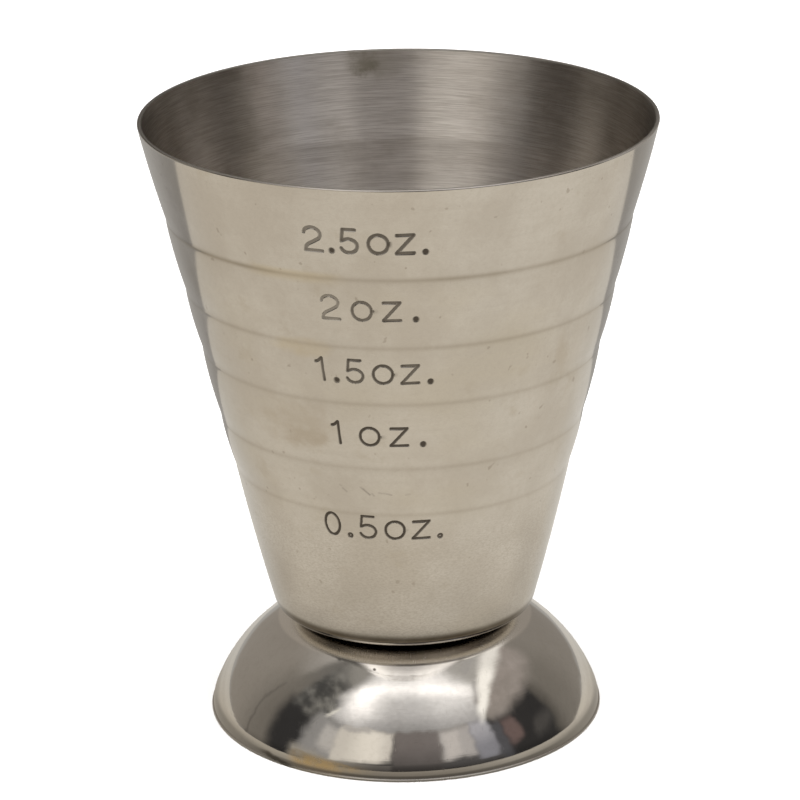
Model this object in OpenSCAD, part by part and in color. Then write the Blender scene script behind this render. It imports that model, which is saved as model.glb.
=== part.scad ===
// Footed bar measure: a stepped cone cup of drawn sheet, spot-welded to a hollow
// bell foot. Millimetres, +Z up, origin under the middle of the foot, with the
// graduations facing -Y.

/* [Cup] */
// Outer radius of the open rim
rim_r = 31.5; // [31:0.1:32.5]
// Height of the rim above the surface that the foot stands on
rim_z = 76.9; // [75:0.1:79]
// Thickness of the cup's sheet
cup_t = 0.5; // [0.45:0.05:0.7]
// Roundness of the cut rim
rim_round = 0.16; // [0.1:0.02:0.2]
// Outer radius at the sharp corner of the floor
base_r = 16.05; // [15.6:0.05:16.6]
// Height of the floor's underside
floor_z = 13.9; // [13.5:0.1:14.5]
// Outside radius of the rounded floor corner
corner_r = 1.5; // [1.2:0.1:2]

/* [Ledges] */
// Radius of the first ledge, under the top band
ledge_1_r = 28.46; // [28.2:0.02:28.8]
// Height of the first ledge
ledge_1_z = 65.2; // [64.5:0.1:66]
// Radius of the second ledge
ledge_2_r = 26.31; // [26:0.01:26.6]
// Height of the second ledge
ledge_2_z = 56.2; // [55.5:0.1:57]
// Radius of the third ledge
ledge_3_r = 24.47; // [24.2:0.01:24.8]
// Height of the third ledge
ledge_3_z = 48.6; // [48:0.1:49.2]
// Radius of the fourth ledge
ledge_4_r = 22.44; // [22.2:0.01:22.7]
// Height of the fourth ledge
ledge_4_z = 39.8; // [39.2:0.1:40.4]
// Radius of the faint fifth ledge
ledge_5_r = 20.81; // [20.6:0.01:21]
// Height of the faint fifth ledge
ledge_5_z = 33.3; // [32.8:0.1:33.8]
// How far the middle of each band stands out past a straight cone
bulge = 0.17; // [0.08:0.01:0.25]

/* [Graduations] */
// Height of a numeral
numeral_h = 3.5; // [3:0.1:3.8]
// Width of an engraved stroke
stroke_w = 0.42; // [0.3:0.02:0.5]
// Depth of an engraved stroke in the middle of its letter
stroke_depth = 0.14; // [0.1:0.01:0.2]

/* [Foot] */
// Thickness of the foot's sheet
foot_t = 0.5; // [0.45:0.05:0.6]
// Radius of the flat crown that the cup's floor rests on
crown_r = 8.8; // [8.6:0.1:9.2]
// Radius of the bell where it bends down from the crown
bend_r = 13; // [12:0.1:14]
// Radius of the bell's nearly straight shoulder
shoulder_r = 34; // [28:1:40]
// Radius of the bell's lower wall
skirt_r = 5.4; // [5:0.1:6]
// Width of the turned lip at the bottom
lip_w = 0.06; // [0.04:0.02:0.16]
// Height of the turned lip
lip_h = 0.3; // [0.24:0.02:0.4]

/* [Joint] */
// Number of spot welds
weld_count = 3; // [3:1:6]
// Radius of the circle that the welds lie on
weld_circle_r = 6.2; // [5:0.2:6.4]
// Diameter of a weld nugget
weld_d = 3.2; // [2.4:0.2:4]
// Depth of a weld nugget into each sheet
weld_depth = 0.3; // [0.2:0.05:0.3]
// Depth of the electrode mark on the free side of each sheet
mark_depth = 0.06; // [0.04:0.01:0.08]

/* [Hidden] */
$fn = 192;
steel = [0.72, 0.69, 0.62];
steel_foot = [0.66, 0.63, 0.58];
steel_weld = [0.50, 0.48, 0.46];

ledges = [
    [ledge_5_r, ledge_5_z], [ledge_4_r, ledge_4_z], [ledge_3_r, ledge_3_z],
    [ledge_2_r, ledge_2_z], [ledge_1_r, ledge_1_z], [rim_r, rim_z]
];

// ---- profile helpers ----

function unit(v) = v / norm(v);

// Points of a shallow arc from p to q, standing out to the right by s
function band(p, q, s, n) =
    let (c = norm(q - p), R = (c * c / 4 + s * s) / (2 * s), h = asin(c / 2 / R),
         d = unit(q - p), o = [d[1], -d[0]], m = (p + q) / 2 - o * (R - s))
    [for (i = [1:n]) let (a = h * (2 * i / n - 1)) m + R * (cos(a) * o + sin(a) * d)];

// Points of an open line moved to the left by t
function inset(p, t) =
    let (n = len(p) - 1)
    [for (i = [0:n])
        let (a = unit(p[min(i + 1, n)] - p[min(i, n - 1)]),
             b = unit(p[max(i, 1)] - p[max(i - 1, 0)]),
             d = unit(a + b), k = 1 / max(0.5, d * a))
        p[i] + t * k * [-d[1], d[0]]];

function flip(p) = [for (i = [len(p) - 1:-1:0]) p[i]];

// Points of a line that falls away outwards. Each step is [length, radius, angle]:
// a straight run, then a turn to a new downward slope.
function fall(p, slope, steps, k = 0) =
    k >= len(steps) ? [p] :
    let (s = steps[k], q = p + s[0] * [cos(slope), -sin(slope)],
         da = s[2] - slope, n = max(2, ceil(abs(da) / 4.5)), w = sign(da),
         turn = [for (i = [0:n]) let (a = slope + da * i / n)
             q + w * s[1] * [sin(a) - sin(slope), cos(a) - cos(slope)]],
         run = s[0] > 0 ? [p] : [])
    concat(run, [for (i = [0:n - 1]) turn[i]], fall(turn[n], s[2], steps, k + 1));

// ---- cup ----

wall_lean = atan((ledge_5_r - base_r) / (ledge_5_z - floor_z)) + 1.6;
corner_run = corner_r * tan((90 - wall_lean) / 2);
corner_mid = [base_r - corner_run, floor_z + corner_r];
corner = [for (i = [0:8]) let (a = -90 + (90 - wall_lean) * i / 8)
    corner_mid + corner_r * [cos(a), sin(a)]];

function wall(k) = k >= len(ledges) ? [] :
    concat(band(k == 0 ? corner[8] : ledges[k - 1], ledges[k], bulge, k == 0 ? 8 : 6),
        wall(k + 1));

cup_outer = concat([[0, floor_z]], corner, wall(0));
cup_in_all = inset(cup_outer, cup_t);
top = len(cup_outer) - 1;
rim_lean = unit(cup_outer[top] - cup_outer[top - 1]);
rim_in = rim_r - cup_t / rim_lean[1];
cup_inner = [for (i = [0:top]) i == 0 ? [0, floor_z + cup_t] :
    i == top ? [rim_in, rim_z] : cup_in_all[i]];

// Outline of the cup's sheet, with both edges of the cut rim rounded off
cup_outline = concat(
    [for (i = [0:top - 1]) cup_outer[i]],
    [cup_outer[top] - rim_round * rim_lean,
     cup_outer[top] - rim_round * [0.3, 0.3],
     cup_outer[top] - rim_round * [1, 0],
     [rim_in + rim_round, rim_z],
     [rim_in, rim_z] + rim_round * [0.3, -0.3],
     [rim_in, rim_z] - rim_round * rim_lean],
    flip([for (i = [0:top - 1]) cup_inner[i]]));

// Outer radius of the wall at height z
function wall_r(z, k = 0) =
    k < len(ledges) - 1 && z >= ledges[k][1] ? wall_r(z, k + 1) :
    let (a = k == 0 ? corner[8] : ledges[k - 1], b = ledges[k],
         f = (z - a[1]) / (b[1] - a[1]))
    a[0] + (b[0] - a[0]) * f + bulge * 4 * f * (1 - f);

// ---- engraved letters: base line at y = 0, middle at x = 0, 3.5 high ----

function arc(c, rx, ry, a0, a1, n) =
    [for (i = [0:n]) let (a = a0 + (a1 - a0) * i / n) c + [rx * cos(a), ry * sin(a)]];

two = concat(arc([0, 2.42], 1, 0.88, 165, -42, 10),
    [[0.1, 1.42], [-0.55, 1.05], [-0.92, 0.62], [-1, 0.21]]);
two_base = [[-1, 0.21], [1.05, 0.21]];
five_top = [[0.72, 3.29], [-0.7, 3.29]];
five_stem = [[-0.7, 3.29], [-0.88, 1.78]];
five_bowl = concat([[-0.88, 1.78]], arc([-0.06, 1.13], 0.98, 0.92, 118, -158, 12));
one_flag = [[-0.72, 2.72], [-0.4, 2.84], [0.05, 3.27]];
one_stem = [[0.05, 3.27], [0.12, 0.21]];
zed_top = [[-0.98, 2.62], [0.98, 2.62]];
zed_slant = [[0.98, 2.62], [-1, 0.21]];
zed_base = [[-1, 0.21], [1.02, 0.21]];

// Outline of one pen stroke along p, with round ends
function pen(p, w) =
    let (n = len(p) - 1,
         t = [for (i = [0:n]) unit(p[min(i + 1, n)] - p[max(i - 1, 0)])],
         ta = atan2(t[0][1], t[0][0]), tb = atan2(t[n][1], t[n][0]))
    concat([for (i = [0:n]) p[i] + w / 2 * [-t[i][1], t[i][0]]],
        [for (i = [1:4]) let (a = tb + 90 - 36 * i) p[n] + w / 2 * [cos(a), sin(a)]],
        [for (i = [n:-1:0]) p[i] - w / 2 * [-t[i][1], t[i][0]]],
        [for (i = [1:4]) let (a = ta - 90 - 36 * i) p[0] + w / 2 * [cos(a), sin(a)]]);

module pen_line(p) polygon(pen(p, stroke_w * 3.5 / numeral_h));

module ring(c, rx, ry, w) difference() {
    polygon([for (i = [0:31]) c + [(rx + w / 2) * cos(i * 11.25), (ry + w / 2) * sin(i * 11.25)]]);
    polygon([for (i = [0:31]) c + [(rx - w / 2) * cos(i * 11.25), (ry - w / 2) * sin(i * 11.25)]]);
}

module letter(ch) {
    w = stroke_w * 3.5 / numeral_h;
    if (ch == "2") { pen_line(two); pen_line(two_base); }
    if (ch == "5") { pen_line(five_top); pen_line(five_stem); pen_line(five_bowl); }
    if (ch == "1") { pen_line(one_flag); pen_line(one_stem); }
    if (ch == "0") ring([0, 1.75], 0.92, 1.54, w);
    if (ch == "o") ring([0, 1.44], 1.14, 1.23, w);
    if (ch == "z") { pen_line(zed_top); pen_line(zed_slant); pen_line(zed_base); }
    if (ch == ".") polygon([for (i = [0:15]) [0.36 * cos(i * 22.5), 0.36 + 0.36 * sin(i * 22.5)]]);
}

// One letter cut into the wall: z is its base line, at turns it round the cup
module engrave(ch, at, z) {
    rm = wall_r(z + 1.7);
    lean = atan((wall_r(z + 3.4) - wall_r(z)) / 3.4);
    k = numeral_h / 3.5;
    rotate([0, 0, at]) translate([0, -rm, z + 1.7]) rotate([90 + lean, 0, 0])
        translate([0, -1.75 * k, -stroke_depth]) linear_extrude(stroke_depth + 0.8)
            scale(k) letter(ch);
}

// Each letter's place along the line, as a length round the wall from the front
module graduation(word, places, z) {
    r = wall_r(z + 1.7);
    for (i = [0:len(places) - 1]) engrave(word[i], places[i] / r * 180 / PI, z);
}

module graduations() {
    graduation("2.5oz.", [-10.2, -8, -5.85, -2.5, 0.6, 2.95], 68.6);
    graduation("2oz.", [-8.3, -4.55, -1.05, 1.75], 59.8);
    graduation("1.5oz.", [-9.5, -7.8, -5.5, -2.2, 1, 3.4], 51.4);
    graduation("1oz.", [-7.7, -3.9, -0.4, 2.45], 42.9);
    graduation("0.5oz.", [-8.8, -6.6, -4.3, -1.05, 2.1, 4.45], 29.8);
}

module weld_spots(z, h, d) {
    for (i = [0:weld_count - 1]) rotate([0, 0, 90 + i * 360 / weld_count])
        translate([weld_circle_r, 0, z]) cylinder(h = h, d = d);
}

module cup() color(steel) difference() {
    rotate_extrude() polygon(cup_outline);
    graduations();
    weld_spots(floor_z - 1, 1 + weld_depth, weld_d);
    weld_spots(floor_z + cup_t - mark_depth, 1, weld_d + 1.4);
}

// ---- foot ----

// Slopes of the bell, from its crown down
bend_a = 35;
shoulder_a = 39;
flank_a = 68;
skirt_a = 86;

turn_r = lip_w * 0.8;
lip_z = lip_h + turn_r * (1 - cos(skirt_a));
// The flank's radius follows from the height that is left for it
flank_r = (floor_z - bend_r * (1 - cos(bend_a)) - shoulder_r * (cos(bend_a) - cos(shoulder_a))
    - skirt_r * (cos(flank_a) - cos(skirt_a)) - lip_z - 0.1) / (cos(shoulder_a) - cos(flank_a));

// The bell from the middle of its crown to the end of its skirt
bell = fall([0, floor_z], 0, [
    [crown_r, bend_r, bend_a], [0, shoulder_r, shoulder_a],
    [0, flank_r, flank_a], [0, skirt_r, skirt_a]
]);
skirt_end = bell[len(bell) - 1];
lip_from = [skirt_end[0] + (skirt_end[1] - lip_z) / tan(skirt_a), lip_z];
lip_edge = lip_from[0] + lip_w + 0.1;
foot_in = inset(bell, -foot_t);

// Outline of the foot's sheet: the bell, the turned lip, and the bell's inside
foot_outline = concat(bell,
    [for (i = [0:5]) let (a = skirt_a * (1 - i / 5))
        lip_from + turn_r * [sin(skirt_a) - sin(a), cos(skirt_a) - cos(a)]],
    [[lip_edge - 0.1, lip_h], [lip_edge - 0.03, lip_h - 0.03], [lip_edge, lip_h - 0.1],
     [lip_edge, 0.1], [lip_edge - 0.03, 0.03], [lip_edge - 0.1, 0],
     [lip_from[0] - foot_t * 0.9, 0], [lip_from[0] - foot_t, 0.1]],
    flip([for (i = [1:len(foot_in) - 1]) foot_in[i]]), [[0, floor_z - foot_t]]);

module foot() color(steel_foot) difference() {
    rotate_extrude() polygon(foot_outline);
    weld_spots(floor_z - weld_depth, 1, weld_d);
    weld_spots(floor_z - foot_t - 1 + mark_depth, 1, weld_d + 1.4);
}

// ---- joint ----

module spot_welds() color(steel_weld)
    weld_spots(floor_z - weld_depth, 2 * weld_depth, weld_d);

cup();
foot();
spot_welds();
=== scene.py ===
import math

import bpy
import numpy as np
from mathutils import Matrix, Vector


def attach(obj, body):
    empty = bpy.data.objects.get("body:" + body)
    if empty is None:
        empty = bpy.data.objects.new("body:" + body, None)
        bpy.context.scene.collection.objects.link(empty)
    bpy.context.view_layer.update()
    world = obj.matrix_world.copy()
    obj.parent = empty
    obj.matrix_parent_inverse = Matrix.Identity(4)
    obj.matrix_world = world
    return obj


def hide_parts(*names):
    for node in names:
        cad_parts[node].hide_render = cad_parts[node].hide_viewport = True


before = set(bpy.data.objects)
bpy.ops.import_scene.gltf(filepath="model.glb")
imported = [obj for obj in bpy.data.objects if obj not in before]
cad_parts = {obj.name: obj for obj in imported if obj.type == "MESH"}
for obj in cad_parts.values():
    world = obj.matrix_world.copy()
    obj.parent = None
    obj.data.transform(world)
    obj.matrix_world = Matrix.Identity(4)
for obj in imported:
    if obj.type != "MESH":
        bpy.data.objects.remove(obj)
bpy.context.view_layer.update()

MM = 0.001
TAU = 2 * math.pi


# ---------------------------------------------------------------- profiles (mm)

def arc_pts(c, r, a0, a1, n):
    a = np.radians(np.linspace(a0, a1, n + 1))
    return np.stack([c[0] + r * np.cos(a), c[1] + r * np.sin(a)], 1)


def vertex_normals(p):
    """Right-hand normals of an open polyline, by angle."""
    d = np.diff(p, axis=0)
    d /= np.linalg.norm(d, axis=1)[:, None]
    t = np.vstack([d[:1], d[:-1] + d[1:], d[-1:]])
    t /= np.linalg.norm(t, axis=1)[:, None]
    return np.stack([t[:, 1], -t[:, 0]], 1)


RIM_R, RIM_Z, SHEET = 31.5, 76.9, 0.5
BASE_R, FLOOR_Z, CORNER_R = 16.05, 13.91, 1.5
# ledge radius and height, then how much steeper the band above it starts than it ends
LEDGES = [(20.81, 33.3, 0.190), (22.44, 39.8, 0.177), (24.47, 48.6, 0.184),
          (26.31, 56.2, 0.147), (28.46, 65.2, 0.082), (RIM_R, RIM_Z, 0.0)]
# at each ledge: a fine line, a wider dip that rounds the bands into it, and how dark the dirt and painted shade in its
# crease are
LEDGE_GROOVE = {33.3: (0.004, 0.006, 0.18), 39.8: (0.008, 0.014, 0.20), 48.6: (0.010, 0.024, 0.20),
                56.2: (0.012, 0.036, 0.27), 65.2: (0.022, 0.050, 0.50)}
FILLET = 1.1

lean0 = math.degrees(math.atan((LEDGES[0][0] - BASE_R) / (LEDGES[0][1] - 13.9))) + 1.6
run0 = CORNER_R * math.tan(math.radians((90 - lean0) / 2))
corner_c = (BASE_R - run0, FLOOR_Z + CORNER_R)
corner = arc_pts(corner_c, CORNER_R, -90, -lean0, 14)


def wall_table():
    """Outer radius against height: each band falls from a steep start to a flat end, with a
    short fillet where it leaves the ledge under it."""
    zs, rs = [corner[-1][1]], [corner[-1][0]]
    prev_hi = math.tan(math.radians(lean0))
    z0, r0 = zs[0], rs[0]
    diff = 0.063
    for i, (r1, z1, next_diff) in enumerate(LEDGES):
        n = max(40, int((z1 - z0) / 0.02))
        z = np.linspace(z0, z1, n + 1)
        u = (z - z0) / (z1 - z0)
        mean = (r1 - r0) / (z1 - z0)
        slope = mean + diff * (0.5 - u)
        if i:
            f = np.clip((z - z0) / FILLET, 0, 1)
            f = f * f * (3 - 2 * f)
            slope = prev_hi + (slope - prev_hi) * f
        mid = 0.5 * (slope[1:] + slope[:-1])
        got = np.sum(mid * np.diff(z))
        slope = slope + (r1 - r0 - got) / (z1 - z0)
        mid = 0.5 * (slope[1:] + slope[:-1])
        r = r0 + np.concatenate([[0], np.cumsum(mid * np.diff(z))])
        zs += list(z[1:])
        rs += list(r[1:])
        prev_hi = slope[-1]
        z0, r0, diff = z1, r1, next_diff
    return np.array(zs), np.array(rs)


WZ, WR = wall_table()


def wall_r(z):
    return np.interp(z, WZ, WR)


def groove(z):
    g = np.zeros_like(np.asarray(z, float))
    for zl, (line, dip, _) in LEDGE_GROOVE.items():
        d = np.sqrt((z - zl) ** 2 + 0.05 ** 2) - 0.05
        g += line * np.exp(-((z - zl) / 0.12) ** 2) + dip * np.exp(-d / 0.42)
    return g


def ledge_dirt_and_shade(z, ang):
    """How much dirt and painted crease shade the wall carries at a height, round the cup."""
    g = np.zeros_like(ang)
    for zl, (_, _, dark) in LEDGE_GROOVE.items():
        d = z - zl
        if abs(d) > 5:
            continue
        g += dark * (0.74 * math.exp(-(d / 0.30) ** 2) + 0.26 * math.exp(-abs(d) / (0.45 if d > 0 else 1.0)))
    if abs(z - 65.2) < 4:
        g *= np.interp(np.degrees(ang), [-180, -80, -50, -38, -24, -12, 14, 34, 58, 90, 180],
                       [0.8, 1.1, 1.35, 1.40, 0.84, 0.60, 1.00, 0.8, 0.95, 1.1, 0.8])
    return g


# ---------------------------------------------------------------- graduations


def curve(c, rx, ry, a0, a1, n):
    a = np.radians(np.linspace(a0, a1, n + 1))
    return [(c[0] + rx * math.cos(t), c[1] + ry * math.sin(t)) for t in a]


GLYPHS = {
    "2": [curve((0, 2.42), 1.0, 0.88, 168, -42, 16) + [(0.1, 1.42), (-0.55, 1.05), (-0.9, 0.66), (-1.0, 0.21)],
          [(-1.0, 0.21), (1.05, 0.19)]],
    "5": [[(0.72, 3.27), (-0.70, 3.29)], [(-0.70, 3.29), (-0.88, 1.78)],
          [(-0.88, 1.78)] + curve((-0.06, 1.13), 0.98, 0.92, 118, -158, 20)],
    "1": [[(-0.72, 2.72), (-0.4, 2.84), (0.05, 3.27)], [(0.05, 3.27), (0.12, 0.21)]],
    "0": [curve((0, 1.75), 0.92, 1.54, 0, 360, 36)],
    "o": [curve((0, 1.44), 1.14, 1.23, 0, 360, 36)],
    "z": [[(-0.98, 2.62), (0.98, 2.66)], [(0.98, 2.66), (-1.0, 0.21)], [(-1.0, 0.21), (1.02, 0.24)]],
    ".": [[(0, 0.36), (0.001, 0.36)]],
    "*": [curve((0, 0.36), 0.24, 0.24, 0, 360, 16)],
}
# word, place of each letter along the wall, base line, darkness of each letter, stroke
LABELS = [
    ("2.5oz.", (-10.2, -8.0, -5.85, -2.5, 0.6, 2.95), 68.6, (0.68, 0.95, 0.80, 0.92, 0.88, 1.2), 0.415),
    ("2oz.", (-8.3, -4.55, -1.05, 1.75), 59.8, (0.58, 0.86, 0.84, 1.15), 0.345),
    ("1.5oz.", (-9.5, -7.8, -5.5, -2.2, 1.0, 3.4), 51.4, (0.88, 0.95, 0.88, 0.95, 0.86, 1.12), 0.345),
    ("1oz.", (-7.7, -3.9, -0.4, 2.45), 42.9, (1.02, 1.04, 0.98, 1.15), 0.335),
    ("0.5oz.", (-8.8, -6.6, -4.3, -1.05, 2.1, 4.45), 29.8, (1.12, 1.0, 1.06, 1.10, 0.98, 0.95), 0.315),
]
# small handling marks: degrees round from the front, height, length along, length up, darkness
MARKS = [
    (-11.6, 36.55, 0.75, -0.75, 0.55), (-12.9, 37.0, 0.35, -0.3, 0.35), (-18.6, 36.6, 0.45, -0.45, 0.35),
    (-6.6, 36.45, 0.8, -0.1, 0.25), (-4.4, 36.3, 0.5, -0.15, 0.35), (-9.6, 36.2, 0.2, -0.3, 0.3),
    (1.5, 36.3, 0.5, 0.02, 0.16), (-19.8, 37.2, 0.15, -0.15, 0.25),
]


def smooth(x, a, b):
    t = np.clip((x - a) / (b - a), 0, 1)
    return t * t * (3 - 2 * t)


def segment_distance(px, py, line):
    """Distance to a polyline, and to its nearer end."""
    best = np.full(px.shape, 1e9)
    for (ax, ay), (bx, by) in zip(line[:-1], line[1:]):
        dx, dy = bx - ax, by - ay
        t = np.clip(((px - ax) * dx + (py - ay) * dy) / max(dx * dx + dy * dy, 1e-12), 0, 1)
        best = np.minimum(best, np.hypot(px - ax - t * dx, py - ay - t * dy))
    (ax, ay), (bx, by) = line[0], line[-1]
    ends = np.minimum(np.hypot(px - ax, py - ay), np.hypot(px - bx, py - by))
    return best, ends


class Zone:
    """A patch of the outer wall with a fine grid, and the cuts in it."""

    def __init__(self, z0, z1, a0, a1, step):
        self.z0, self.z1, self.a0, self.a1, self.step = z0, z1, a0, a1, step
        self.cuts = []
        self.spans = []

    def angles(self, coarse, r):
        """Fine steps where something is cut, wide ones elsewhere."""
        fine = [np.arange(a, b, self.step / r) for a, b in self.spans] or [np.arange(self.a0, self.a1, self.step / r)]
        out = [fine[0]]
        for f in fine[1:]:
            last = out[-1][-1]
            gap = f[0] - last
            n = int(gap * r / 0.45)
            if n > 1:
                out.append(np.linspace(last, f[0], n + 1)[1:-1])
            out.append(f[f > out[-1][-1] + 0.4 * self.step / r])
        fine = np.concatenate(out)
        room = 0.5 / r
        return np.concatenate([coarse[coarse < fine[0] - room], fine, coarse[coarse > fine[-1] + room]])

    def add(self, line, angle, base, width, depth, ink):
        self.cuts.append((line, angle, base, width, depth, ink))

    def field(self, ang, z):
        """Depth of the cuts (mm) and how dark they are."""
        h, dark = np.zeros(ang.shape), np.zeros(ang.shape)
        r = wall_r(z)
        for line, angle, base, width, depth, ink in self.cuts:
            x, y = (ang - angle) * r, (z - base) * 1.03
            near = (np.abs(x) < 2.2) & (y > -0.9) & (y < 4.4)
            if not near.any():
                continue
            d, e = segment_distance(x[near], y[near], line)
            cut = 1 - smooth(d, 0.35 * width, 0.62 * width)
            ink_here = (1 - smooth(d, 0.28 * width, 0.68 * width)) * (ink + 0.14 * ink * np.exp(-(e / 0.3) ** 2))
            h[near] = np.maximum(h[near], depth * cut)
            dark[near] = np.maximum(dark[near], ink_here)
        return h, dark


def label_zones():
    zones = []
    for word, places, base, darkness, stroke in LABELS:
        r = float(wall_r(base + 1.7))
        z = Zone(base - 0.34, base + 3.74, (places[0] - 1.7) / r, (places[-1] + 0.9) / r, 0.085)
        for ch, place, ink in zip(word, places, darkness):
            key = "*" if ch == "." and word.startswith("0") else ch
            wide = {".": 0.76, "*": 0.25}.get(key, stroke)
            half = 0.62 if ch == "." else 0.98 if ch == "1" else 1.40
            z.spans.append(((place - half) / r, (place + half) / r))
            for line in GLYPHS[key]:
                z.add(line, place / r, base, wide, 0.10, ink)
        zones.append(z)
    marks = Zone(35.2, 37.6, math.radians(-21.5), math.radians(3.5), 0.10)
    for deg, zz, du, dv, ink in MARKS:
        marks.add([(-du / 2, -dv / 2), (du / 2, dv / 2)], math.radians(deg), zz, 0.24, 0.01, 0.62 * ink)
    zones.append(marks)
    return sorted(zones, key=lambda k: k.z0)


# ---------------------------------------------------------------- ring meshes

class Rings:
    """Rings of points round +Z, joined into a closed skin."""

    def __init__(self):
        self.v, self.n, self.att = [], [], {}
        self.f, self.fm = [], []
        self.rings = []

    def ring(self, ang, r, z, nr, nz, **att):
        """ang from the front (-Y) towards +X. nr, nz: the outward normal. Values may be arrays."""
        ang = np.asarray(ang, float)
        one = np.ones_like(ang)
        r, z, nr, nz = r * one, z * one, nr * one, nz * one
        first = len(self.v) and sum(len(a) for a in self.v)
        self.v.append(np.stack([r * np.sin(ang), -r * np.cos(ang), z], 1))
        self.n.append(np.stack([nr * np.sin(ang), -nr * np.cos(ang), nz], 1))
        for k, x in att.items():
            self.att.setdefault(k, {})[len(self.v) - 1] = x * one
        self.rings.append((int(first), ang))
        return len(self.rings) - 1

    def point(self, z, nz):
        return self.ring([0.0], 0.0, z, 0.0, nz)

    def join(self, a, b, mat=0):
        """Faces between ring a and the next ring b, seen with a below b on the outside."""
        fa, aa = self.rings[a]
        fb, ab = self.rings[b]
        na, nb = len(aa), len(ab)
        if na == 1 or nb == 1:
            if na == 1:
                fs = [(fa, fb + (j + 1) % nb, fb + j) for j in range(nb)]
            else:
                fs = [(fa + i, fa + (i + 1) % na, fb) for i in range(na)]
        elif na == nb and np.allclose(aa, ab):
            fs = [(fa + i, fa + (i + 1) % na, fb + (i + 1) % na, fb + i) for i in range(na)]
        else:
            fs, i, j = [], 0, 0
            ea = np.append(aa, aa[0] + TAU)
            eb = np.append(ab, ab[0] + TAU)
            while i < na or j < nb:
                if j >= nb or (i < na and ea[i + 1] <= eb[j + 1] + 1e-12):
                    fs.append((fa + i, fa + (i + 1) % na, fb + j % nb))
                    i += 1
                else:
                    fs.append((fa + i % na, fb + (j + 1) % nb, fb + j))
                    j += 1
        self.f += fs
        self.fm += [mat] * len(fs)

    def mesh(self, name, mats):
        v = np.vstack(self.v) * MM
        n = np.vstack(self.n)
        n /= np.maximum(np.linalg.norm(n, axis=1), 1e-9)[:, None]
        me = bpy.data.meshes.new(name)
        me.from_pydata(v.tolist(), [], self.f)
        for m in mats:
            me.materials.append(m)
        me.polygons.foreach_set("material_index", np.array(self.fm, np.int32))
        me.polygons.foreach_set("use_smooth", np.ones(len(self.f), bool))
        for k, rows in self.att.items():
            full = np.concatenate([rows.get(i, np.zeros(len(x))) for i, x in enumerate(self.v)])
            a = me.attributes.new(k, "FLOAT", "POINT")
            a.data.foreach_set("value", full.astype(np.float32))
        me.update()
        me.validate()
        me.normals_split_custom_set_from_vertices(n.tolist())
        me.update()
        ob = bpy.data.objects.new(name, me)
        bpy.context.scene.collection.objects.link(ob)
        return ob


WELD_R, WELD_D = 6.2, 3.2


def weld_mark(ang, r, depth=0.06):
    """Shallow electrode marks on the free side of a sheet."""
    h = np.zeros_like(ang)
    for k in range(3):
        a = math.pi + k * TAU / 3
        d = np.hypot(r * np.sin(ang) - WELD_R * math.sin(a), -r * np.cos(ang) + WELD_R * math.cos(a))
        h += depth * (1 - smooth(d, 1.5, 2.3))
    return h


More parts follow.
